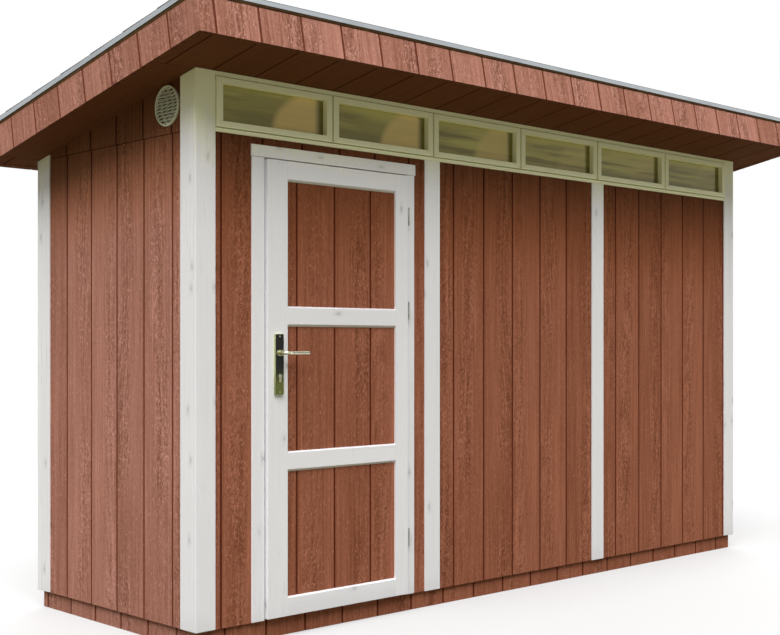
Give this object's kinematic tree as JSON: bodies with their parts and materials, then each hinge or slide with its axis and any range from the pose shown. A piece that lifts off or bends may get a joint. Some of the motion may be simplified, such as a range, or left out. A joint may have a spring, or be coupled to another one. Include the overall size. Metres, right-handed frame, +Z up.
{
  "type": "garden shed",
  "caption": "Pent-roof timber garden shed with grooved red-brown wall sheets, white trim boards, a band of high windows and a hinged panelled door with a lever handle.",
  "frame": {"origin": "middle of the body at ground level, on the underside of the central floor joist", "axes": "+X along the front from the door end to the plain end, -Y out of the front with the door, +Z up"},
  "size_m": [4.102, 1.6529, 2.4183],
  "materials": {
    "siding": "rough-sawn, red-brown stain",
    "trim_white": "white opaque stain",
    "timber": "planed, untreated",
    "roofing": "mineral felt",
    "edge_metal": "satin",
    "door_metal": "polished, warm nickel",
    "hinge_metal": "zinc plated",
    "glass": "clear",
    "vent_plastic": "white"
  },
  "bodies": {
    "shed": {"plinth_eaves": "siding", "plinth_ends": "siding", "floor_joists": "timber", "floor_deck": "timber", "siding_beside_door": "siding", "siding_over_door": "siding", "siding_middle": "siding", "siding_right_bay": "siding", "siding_left": "siding", "siding_right": "siding", "gables": "siding", "siding_back": "siding", "studs_front": "timber", "studs_back": "timber", "studs_sides": "timber", "plates_long": "timber", "plates_sides": "timber", "corner_boards_front": "trim_white", "corner_boards_back": "trim_white", "battens": "trim_white", "transom_rails": "trim_white", "transom_posts": "trim_white", "sash_stiles": "trim_white", "sash_rails": "trim_white", "window_panes": "glass", "casing_sides": "trim_white", "casing_head": "trim_white", "hinge_frame_halves": "hinge_metal", "vent_grille": "vent_plastic", "rafters": "timber", "soffit_eaves": "siding", "soffit_verges": "siding", "fascia_eaves": "siding", "fascia_verges": "siding", "roof_deck": "timber", "roofing": "roofing", "edge_trim_eaves": "edge_metal", "edge_trim_verges": "edge_metal"},
    "door": {"leaf_stiles": "trim_white", "leaf_rails": "trim_white", "leaf_panels": "siding", "handle_plates": "door_metal", "lock_cylinder": "door_metal", "hinge_leaf_halves": "hinge_metal"},
    "lever": {"door_lever": "door_metal"}
  },
  "joints": [
    {"name": "door_hinge", "type": "hinge", "parent": "shed", "child": "door", "pos_m": [-0.749, -0.623, 1], "axis": [0, 0, 1], "range_deg": [0, 160]},
    {"name": "lever_turn", "type": "hinge", "parent": "door", "child": "lever", "pos_m": [-1.46725, -0.605, 1.126], "axis": [0, 1, 0], "range_deg": [0, 40], "stiffness_Nm_per_rad": 1, "springref_deg": -34.38}
  ]
}
